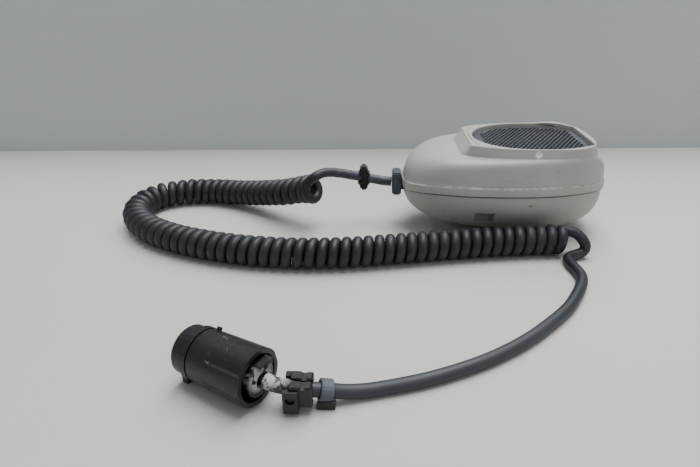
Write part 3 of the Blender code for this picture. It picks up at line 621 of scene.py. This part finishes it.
def make_cord():
    points = strand()
    curve = bpy.data.curves.new("curly_cord", "CURVE")
    curve.dimensions = "3D"
    curve.bevel_depth = CORD_RADIUS * MM
    curve.bevel_resolution = 6
    curve.use_fill_caps = True
    spline = curve.splines.new("POLY")
    spline.points.add(len(points) - 1)
    for target, p in zip(spline.points, points):
        target.co = (p.x * MM, p.y * MM, max(p.z, CORD_RADIUS + 0.02) * MM, 1.0)
    obj = bpy.data.objects.new("curly_cord", curve)
    bpy.context.scene.collection.objects.link(obj)
    length = sum((b - a).length for a, b in zip(points, points[1:]))
    print(f"cord length {length:.0f} mm, {len(points)} points")
    return obj, length


CORD, CORD_LENGTH = make_cord()
coat(CORD, JACKET, stands_for=("cord_lead", "cord_coil", "cord_tail"))


# ---------------------------------------------------------------- form of the body
WIDEST = 1.5
CORD_REACH, CORD_POWER = 52.43, 2.655
OPEN_REACH, OPEN_POWER = 46.08, 2.229
ISLAND_START, ISLAND_END, ISLAND_HALF = -20.5, 39.0, 24.1
ISLAND_WIDEST = 12.0
GRILLE_TIP, GRILLE_CUT = -17.0, 36.0
GRILLE_HALF, CUT_HALF = 22.6, 15.4


def lobe(x, left, left_reach, left_power, right, right_reach, right_power):
    """1 between left and right, rounding off to 0 at each end's reach."""
    share = np.where(x < left, (left - x) / left_reach, np.maximum(x - right, 0.0) / right_reach)
    power = np.where(x < left, left_power, right_power)
    return np.maximum(0.0, 1.0 - np.clip(share, 0, 1) ** power) ** (1.0 / power)


def half_width(x):
    return HALF_WIDTH * lobe(x, WIDEST, CORD_REACH, CORD_POWER, WIDEST, OPEN_REACH, OPEN_POWER)


def seam_height(x):
    return END_HEIGHT + SEAM_ARCH * (1.0 - np.clip(np.where(x < 0, x / CORD_END, x / FAR_END), 0, 1) ** 6)


def top_height(x):
    return END_HEIGHT + (19.15 + 0.039 * (x + 25.0)) * lobe(x, -27.5, 23.43, 3.05, 30.0, 17.58, 2.0)


def bottom_height(x):
    return END_HEIGHT - 21.85 * lobe(x, 10.0, 60.93, 2.45, 10.0, 37.58, 3.05)


def front_power(x):
    """Roundness of the front shell's section: soft at the cord's end, boxy at the other."""
    share = np.clip((x - CORD_END) / 46.0, 0, 1)
    return 2.6 + 11.4 * share * share * (3 - 2 * share)


def front_surface(x, y, inset=0.0):
    """Height of the front shell's skin above a plan point, 0 rise at its outline."""
    reach = np.maximum(half_width(x) - inset, 0.01)
    power = front_power(x)
    low, high = np.zeros_like(x), np.ones_like(x)
    for _ in range(24):
        rise = (low + high) / 2
        wide = reach * (1 - 0.05 * rise) * np.maximum(0, 1 - rise ** power) ** (1 / power)
        inside = wide > np.abs(y)
        low = np.where(inside, rise, low)
        high = np.where(inside, high, rise)
    seam = np.minimum(seam_height(x), top_height(x))
    return seam + (top_height(x) - inset - seam) * low


def rear_surface(x, y, inset=0.0):
    """Height of the rear shell's skin above a plan point."""
    reach = np.maximum(half_width(x) - inset, 0.01)
    rise = np.maximum(0, 1 - np.clip(np.abs(y) / reach, 0, 1) ** 2.2) ** (1 / 2.2)
    seam = np.maximum(seam_height(x), bottom_height(x))
    return seam - (seam - bottom_height(x) - inset) * rise


def body_plan(grow=0.0):
    """The body's outline seen from above."""
    turns = np.linspace(0, 2 * np.pi, 1441)[:-1]
    c, s = np.cos(turns), np.sin(turns)
    power = np.where(c > 0, OPEN_POWER, CORD_POWER)
    reach = np.where(c > 0, OPEN_REACH, CORD_REACH)
    x = WIDEST + reach * np.sign(c) * np.abs(c) ** (2 / power)
    y = HALF_WIDTH * np.sign(s) * np.abs(s) ** (2 / power)
    return np.stack([x * (1 + grow / HALF_LENGTH), y * (1 + grow / HALF_WIDTH)], 1)


def softened(points, radius):
    """Rounds a closed plan's corners by averaging evenly spaced points."""
    loop = np.vstack([points, points[:1]])
    at = np.concatenate([[0], np.cumsum(np.hypot(*np.diff(loop, axis=0).T))])
    even = np.linspace(0, at[-1], 1441)[:-1]
    out = np.stack([np.interp(even, at, loop[:, k]) for k in range(2)], 1)
    span = max(1, int(radius / (at[-1] / 1440)))
    for _ in range(2):
        out = sum(np.roll(out, k, axis=0) for k in range(-span, span + 1)) / (2 * span + 1)
    return out


def island_plan(grow, soft=0.7):
    """The island's outline; a wall that grows stays upright along the open end's sides."""
    left, right = ISLAND_START - grow * 1.35, ISLAND_END + grow * 0.4
    x = left + (right - left) * np.sin(np.pi / 2 * np.linspace(0, 1, 90))
    low_side = np.sqrt(np.maximum(0, 1 - ((ISLAND_WIDEST - x) / 44.7) ** 2))
    far_side = np.maximum(0, 1 - np.clip((x - ISLAND_WIDEST) / (right - ISLAND_WIDEST), 0, 1) ** 3.4) ** 0.294
    open_end = np.clip((x - 14.0) / 14.0, 0, 1)
    lean = 1 - open_end ** 2 * (3 - 2 * open_end)
    side_grow = min(grow, 0.3) + max(grow - 0.3, 0.0) * lean
    y = np.where(x < ISLAND_WIDEST, low_side, far_side) * (ISLAND_HALF + side_grow * 0.45)
    return softened(np.vstack([np.stack([x, -y], 1), np.stack([x, y], 1)[::-1][1:]]), soft)


def grille_plan(scale=1.0, grow=0.0, soft=0.5):
    """The leaf-shaped grille's outline: a round tip, its widest place, and a straight cut."""
    length = GRILLE_CUT - GRILLE_TIP
    x = GRILLE_TIP + length * np.linspace(0, 1, 120) ** 1.9
    to_tip = np.clip((ISLAND_WIDEST - x) / (ISLAND_WIDEST - GRILLE_TIP), 0, 1)
    to_cut = np.clip((x - ISLAND_WIDEST) / (GRILLE_CUT - ISLAND_WIDEST), 0, 1)
    tip = np.maximum(0, 1 - to_tip ** 2.3) ** 0.48
    tail = 1 - (1 - CUT_HALF / GRILLE_HALF) * to_cut ** 2.3
    y = np.where(x < ISLAND_WIDEST, tip, tail) * GRILLE_HALF
    loop = np.vstack([np.stack([x, -y], 1), np.stack([x, y], 1)[::-1]])
    middle = (GRILLE_TIP + GRILLE_CUT) / 2
    sx, sy = scale * (1 + 2 * grow / length), scale * (1 + grow / GRILLE_HALF)
    return softened(np.stack([middle + (loop[:, 0] - middle) * sx, loop[:, 1] * sy], 1), soft)


class Fan:
    """Rays from a pole, shared out along some outlines, on which a shell's rings are laid."""

    def __init__(self, pole, count, outlines):
        self.pole = pole
        dense = np.linspace(-np.pi, np.pi, 4001)
        total = np.zeros_like(dense)
        for plan, weight in outlines:
            reach = self.reach(plan, dense)
            x, y = reach * np.cos(dense), reach * np.sin(dense)
            at = np.concatenate([[0], np.cumsum(np.hypot(np.diff(x), np.diff(y)))])
            total += weight * at / at[-1]
        self.rays = np.interp(np.linspace(0, total[-1], count + 1)[:-1], total, dense)

    def bearing(self, points):
        return np.arctan2(points[:, 1] - self.pole[1], points[:, 0] - self.pole[0])

    def reach(self, plan, rays=None):
        """How far out each ray meets a plan outline."""
        angle = self.bearing(plan)
        order = np.argsort(angle)
        reach = np.hypot(plan[:, 0] - self.pole[0], plan[:, 1] - self.pole[1])
        return np.interp(self.rays if rays is None else rays, angle[order], reach[order], period=2 * np.pi)

    def at(self, reach):
        """X and Y at a distance along every ray."""
        return self.pole[0] + reach * np.cos(self.rays), self.pole[1] + reach * np.sin(self.rays)

    def ring(self, plan, height):
        """A loop of points where the rays meet a plan, at one height or at a height for each."""
        x, y = self.at(self.reach(plan))
        z = height(x, y) if callable(height) else np.full_like(x, height)
        return np.stack([x, y, z], 1)

    def level(self, reach, z):
        """A loop of points at a distance along every ray, at one height or at a height for each."""
        x, y = self.at(reach)
        return np.stack([x, y, np.broadcast_to(z, x.shape)], 1)

    def between(self, outer, inner, height, rows, inset=0.0):
        """Rings on the shell's skin from one plan to the next, evenly spaced along the surface."""
        a, b = self.reach(outer), self.reach(inner)
        steps = np.linspace(0, 1, 160) ** 3
        x, y = self.at(a[None, :] + (b - a)[None, :] * steps[:, None])
        z = height(x.ravel(), y.ravel(), inset).reshape(x.shape)
        stack = np.stack([x, y, z], 2)
        walk = np.linalg.norm(np.diff(stack, axis=0), axis=2)
        at = np.concatenate([np.zeros((1, x.shape[1])), np.cumsum(walk, 0)])
        rings = []
        for k in range(1, rows):
            row = np.empty((x.shape[1], 3))
            for i in range(x.shape[1]):
                for c in range(3):
                    row[i, c] = np.interp(at[-1, i] * k / rows, at[:, i], stack[:, i, c])
            rings.append(row)
        return rings


def circle(radius, count=720):
    turns = np.linspace(0, 2 * np.pi, count + 1)[:-1]
    return radius * np.stack([np.cos(turns), np.sin(turns)], 1)


def over_seam(lift):
    """Heights a little above or below the seam."""
    return lambda x, y: seam_height(x) + lift


FRONT = Fan((10.0, 0.0), 240, ((body_plan(), 0.8), (island_plan(0.0), 1.0), (grille_plan(), 1.2)))
REAR = Fan((0.0, 0.0), 180, ((body_plan(), 1.0),))


def lifted(rings, shift=MIC_SHIFT):
    return [[(p[0] + shift[0], p[1] + shift[1], p[2]) for p in r] for r in rings]


def island_wall(z):
    """Plan of the island's wall at a height."""
    return island_plan(0.3 + 5.2 * (ISLAND_EDGE - z) / 7.4)


def crease_plan():
    """Where the island's wall runs into the skin, found ray by ray."""
    heights = np.linspace(36.0, 46.2, 50)
    reach = np.stack([FRONT.reach(island_wall(z)) for z in heights])
    x, y = FRONT.at(reach)
    ground = front_surface(x.ravel(), y.ravel()).reshape(x.shape)
    over = np.maximum(np.argmax(heights[:, None] > ground, axis=0), 1)
    ray = np.arange(reach.shape[1])
    below, above = ground[over - 1, ray] - heights[over - 1], ground[over, ray] - heights[over]
    share = np.clip(below / (below - above), 0.0, 1.0)
    far = reach[over - 1, ray] + (reach[over, ray] - reach[over - 1, ray]) * share
    return FRONT.level(far, heights[over - 1] + (heights[over] - heights[over - 1]) * share)


def outside_to_crease(crease):
    """The parting edge, the belt's rounded bead and the skin above it."""
    bead = ((-WALL_THICKNESS, 0.2), (-0.1, 0.2), (0.45, 0.2), (0.72, 0.32), (0.8, 0.6), (0.8, 2.0),
            (0.8, 3.5), (0.74, 3.9), (0.55, 4.12), (0.25, 4.2), (0.02, 4.18))
    rings = [FRONT.ring(body_plan(out), over_seam(lift)) for out, lift in bead]
    belt_rings = len(rings)
    rings += FRONT.between(body_plan(-0.35), crease[:, :2], front_surface, 44)
    rings[belt_rings][:, 2] = np.maximum(rings[belt_rings][:, 2], seam_height(rings[belt_rings][:, 0]) + 4.15)
    for k in range(belt_rings, belt_rings + 5):
        rings[k][:, 2] = np.maximum(rings[k][:, 2], rings[k - 1][:, 2])
    return rings


def island_rings(crease):
    """The island's wall, its rounded edge, its top with the dip behind the ramp, and the grille's pocket."""
    rings = []
    upper = FRONT.ring(island_wall(ISLAND_EDGE), ISLAND_EDGE)
    for share in (0.0, 0.04, 0.12, 0.3, 0.5, 0.7, 0.86, 0.95):
        wall = crease * (1 - share) + upper * share
        wall[:, 2] = crease[:, 2] + (ISLAND_EDGE - crease[:, 2]) * share + 0.16 * (share == 0.0)
        rings.append(wall)
    for grow, z in ((0.3, ISLAND_EDGE), (0.16, 46.78), (-0.05, 47.04), (-0.28, 47.16), (-0.45, ISLAND_TOP)):
        rings.append(FRONT.ring(island_plan(grow), z))
    outer = FRONT.reach(island_plan(-0.45))
    inner = np.minimum(FRONT.reach(grille_plan(grow=0.8)), outer - 0.25)
    ramp = np.exp(-((FRONT.at(outer)[0] + 19.0) / 6.0) ** 4)
    for share, dip in ((0.2, 0.0), (0.3, 0.25), (0.36, 0.55), (0.44, 0.6), (0.52, 0.3), (0.6, 0.04),
                       (0.8, 0.0), (1.0, 0.0)):
        reach = outer + (inner - outer) * share
        rings.append(FRONT.level(reach, ISLAND_TOP - dip * ramp * (np.abs(FRONT.at(reach)[1]) < 15.5)))
    pocket = FRONT.reach(grille_plan(grow=0.4))
    for share, z in ((0.5, 47.12), (0.1, 46.9), (0.0, 46.5), (0.0, 44.6), (0.0, 43.6)):
        rings.append(FRONT.level(pocket + (inner - pocket) * share, z))
    for grow in (0.3, -0.6):
        rings.append(FRONT.ring(grille_plan(grow=grow), POCKET_FLOOR))
    for scale, z in ((0.86, POCKET_FLOOR), (0.845, 43.4), (0.84, 43.1), (0.84, 41.2)):
        rings.append(FRONT.ring(grille_plan(scale), z))
    return rings


def raise_hump(rings):
    """The island's far rim swells where the slot is."""
    for made in rings:
        rise = 0.75 * np.exp(-(((made[:, 0] - 26.5) / 6.5) ** 4)) * (made[:, 1] > 0)
        made[:, 2] += rise * np.clip((made[:, 2] - 45.6) / 1.2, 0, 1)


def front_shell():
    crease = crease_plan()
    rings = outside_to_crease(crease) + island_rings(crease)
    raise_hump(rings[60:])
    lining = FRONT.between(body_plan(-2.6), grille_plan(0.84), front_surface, 14, WALL_THICKNESS)
    for row in lining[::-1]:
        row[:, 2] = np.minimum(row[:, 2], 41.0)
        rings.append(row)
    rings.append(rings[0])
    return skin("front_shell", lifted(rings))


# ---------------------------------------------------------------- front shell pieces
HOLE_STEP_X, HOLE_STEP_Y = 2.15, 1.76
HOLE_HALF_X, HOLE_HALF_Y = 0.78, 0.98


def hole_places():
    """Staggered rows inside the grille's outline."""
    outline = grille_plan(0.93)
    row, y = 0, -21.12
    while y < 21.3:
        x = -15.0 + (HOLE_STEP_X / 2 if row % 2 else 0.0)
        while x < 36.0:
            out_x, out_y = x - FRONT.pole[0], y - FRONT.pole[1]
            room = FRONT.reach(outline, math.atan2(out_y, out_x)) - 1.0
            if math.hypot(out_x, out_y) < room and x > -12.5:
                yield x, y
            x += HOLE_STEP_X
        y += HOLE_STEP_Y
        row += 1


def bore_grille_holes(plate):
    """One eight-sided punch, copied to every hole, cuts them all at once."""
    punch = added("hole_punch", bpy.ops.mesh.primitive_cylinder_add, vertices=8, radius=1.0, depth=4.5 * MM,
                  location=(0, 0, 45.25 * MM), rotation=(0, 0, math.pi / 8))
    settle(punch)
    punch.scale = (HOLE_HALF_X * MM, HOLE_HALF_Y * MM, 1.0)
    settle(punch)
    copies = []
    for x, y in hole_places():
        copy = bpy.data.objects.new("hole_punch", punch.data.copy())
        bpy.context.scene.collection.objects.link(copy)
        copy.location = ((x + MIC_SHIFT[0]) * MM, (y + MIC_SHIFT[1]) * MM, 0)
        copies.append(copy)
    bpy.data.objects.remove(punch, do_unlink=True)
    only(copies[0])
    for copy in copies:
        copy.select_set(True)
    bpy.ops.object.join()
    return cut_with(plate, settle(copies[0]))


def make_pivot_lugs():
    """Two lugs behind the far side, which hold the talk bar's pin."""
    for name, low, high in (("pivot_lug_low", (-12.3, 20.8, 27.6), (-4.3, 26.4, 30.7)),
                            ("pivot_lug_high", (-12.3, 20.8, 39.7), (-4.3, 24.4, 40.9))):
        lug = block(name, low, high)
        rounded(lug, 0.3, 2)
        smooth(lug)
        coat(lug, FRONT_PLASTIC)


def cord_port(low, high):
    """A punch for the cord's opening in the shells' end wall."""
    return block("cord_port", (-58.0, -3.4 + MIC_SHIFT[1], low), (-42.0, 3.4 + MIC_SHIFT[1], high))


def make_front():
    shell = front_shell()
    window_start, window_end = -14.1 + MIC_SHIFT[0], 30.1 + MIC_SHIFT[0]
    cut_with(shell, block("bar_window", (window_start, 18.1, 30.8), (window_end, 36.0, 39.6)))
    cut_with(shell, cord_port(10.0, 26.7))
    make_pivot_lugs()
    cut_with(shell, block("island_slot", (21.2, 19.0, 45.9), (32.6, 22.3, 46.75)))
    smooth(shell, 32)
    coat(shell, FRONT_PLASTIC, stands_for=("front_housing",))


def make_grille():
    rings = []
    for grow, z in ((-0.15, 43.8), (0.0, 43.95), (0.0, 45.1), (-0.1, 45.3), (-0.3, 45.4)):
        rings.append(FRONT.ring(grille_plan(grow=grow), z))
    plate = skin("grille_plate", lifted(rings), shut=True)
    bore_grille_holes(plate)
    smooth(plate, 30)
    coat(plate, GRILLE_PLASTIC, stands_for=("grille",))


RECESS_RADIUS = 9.6
SCREW_SEATS = ((-36.0, -9.0, 12.5), (-36.0, 9.0, 12.5), (31.0, -14.0, 9.6), (31.0, 14.0, 9.6))


def rear_rings():
    """The parting edge, the skin, the button's round recess, and the lining back to the edge."""
    rings = [REAR.ring(body_plan(grow), over_seam(lift)) for grow, lift in
             ((-WALL_THICKNESS, -0.25), (-0.6, -0.25), (-0.2, -0.42))]
    recess = softened(circle(RECESS_RADIUS, 199), 0.1)
    body = REAR.between(body_plan(-0.02), recess, rear_surface, 46)
    body[0][:, 2] = np.minimum(body[0][:, 2], seam_height(body[0][:, 0]) - 0.7)
    rings += body
    rings.append(REAR.ring(circle(RECESS_RADIUS), rear_surface))
    for radius, z in ((9.2, 1.35), (9.02, 1.7), (9.0, 2.4), (9.0, 4.2), (8.8, 4.3), (4.0, 4.3), (4.0, 7.2),
                      (11.5, 7.2)):
        rings.append(REAR.ring(circle(radius), z))
    lining = REAR.between(body_plan(-2.6), circle(12.0, 4000), rear_surface, 12, WALL_THICKNESS)
    return rings + lining[::-1] + rings[:1]


def make_rear():
    shell = skin("rear_shell", lifted(rear_rings()))
    cut_with(shell, block("notch_pocket", (-17.6, -22.4, 10.6), (-5.9, -19.4, 18.4)), "UNION")
    cut_with(shell, block("latch_notch", (-16.3, -40.0, 11.6), (-7.1, -21.6, 17.2)))
    for x, y, seat in SCREW_SEATS:
        x, y = x + MIC_SHIFT[0], y + MIC_SHIFT[1]
        cut_with(shell, rod("screw_post", 4.3, seat - 1.0, seat + 9.0, x, y, 40), "UNION")
        cut_with(shell, rod("screw_well", 3.1, -6.0, seat, x, y, 40))
        cut_with(shell, rod("screw_bore", 1.6, -6.0, 30.0, x, y, 24))
    cut_with(shell, cord_port(19.5, 30.0))
    smooth(shell, 32)
    coat(shell, REAR_PLASTIC, stands_for=("rear_housing",))


make_front()
make_grille()
make_rear()


# ---------------------------------------------------------------- floor, lights
WALL_BEHIND = 0.13
BACKDROP_HEIGHT = 0.13


def set_stage():
    """A pale bench, a low backdrop behind it and three soft lamps; metres."""
    bench = added("bench", bpy.ops.mesh.primitive_plane_add, size=6.0, location=(0, 1.4, 0))
    settle(bench)
    bench.data.materials.append(bench_top())
    wall = added("backdrop", bpy.ops.mesh.primitive_plane_add, size=1.0,
                 location=(0, WALL_BEHIND, BACKDROP_HEIGHT / 2), rotation=(math.radians(90), 0, 0))
    wall.scale = (2.4, BACKDROP_HEIGHT, 1.0)
    settle(wall)
    plain = Finish("pale_wall")
    wall.data.materials.append(plain.set(colour=(0.50, 0.53, 0.535), rough=0.7, specular=0.2))
    for name, place, aim, size, watts in (
            ("key", (0.10, 0.12, 1.35), (-0.03, 0.0, 0.0), 0.9, 22.0),
            ("fill", (0.95, -0.9, 0.9), (0, 0, 0.02), 1.2, 3.0),
            ("rim", (0.15, 0.5, 0.8), (0, 0, 0.03), 0.5, 5.0)):
        data = bpy.data.lights.new(name, "AREA")
        data.energy = watts
        data.size = size
        lamp = bpy.data.objects.new(name, data)
        bpy.context.scene.collection.objects.link(lamp)
        lamp.location = place
        lamp.rotation_mode = "QUATERNION"
        lamp.rotation_quaternion = (Vector(aim) - Vector(place)).to_track_quat("-Z", "Y")
    world = bpy.data.worlds.new("soft_light")
    bpy.context.scene.world = world
    world.use_nodes = True
    sky = world.node_tree.nodes["Background"]
    sky.inputs["Color"].default_value = (0.86, 0.93, 1.0, 1.0)
    sky.inputs["Strength"].default_value = 0.45


set_stage()


# ---------------------------------------------------------------- carried-over pieces
def numbered(name, count):
    return [f"{name}_{n}" for n in range(1, count + 1)]


CARRIED = (
    (METAL, ["microphone_capsule", "talk_bar_pin", "talk_leaf_spring", "hang_up_button", "hang_up_screw",
             "cord_anchor_bar"] + numbered("housing_screw", 4) + numbered("cord_anchor_screw", 2)),
    (GOLD, numbered("plug_contact", 6)),
    (BLACK, ["preamp_chip", "wire_terminal", "talk_switch", "cord_clip", "clamp_foot", "clamp_jaw_front",
             "clamp_jaw_rear", "plug_body", "coupling_ring", "plug_insert"]),
    (BAR_RUBBER, ["capsule_boot", "talk_bar", "talk_switch_plunger"]),
    (BAND_RUBBER, ["cord_band", "plug_wire_core"]),
    (GLAND_RUBBER, ["strain_relief_block"]),
    (JACKET, ["cord_inner_end", "wire_bundle"]),
    (FELT, ["grille_felt"]),
    (BOARD, ["circuit_board"]),
    (FILM, ["coupling_capacitor"]),
)

for material, names in CARRIED:
    for name in names:
        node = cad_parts[name]
        node.data.materials.clear()
        node.data.materials.append(material)

deselect()
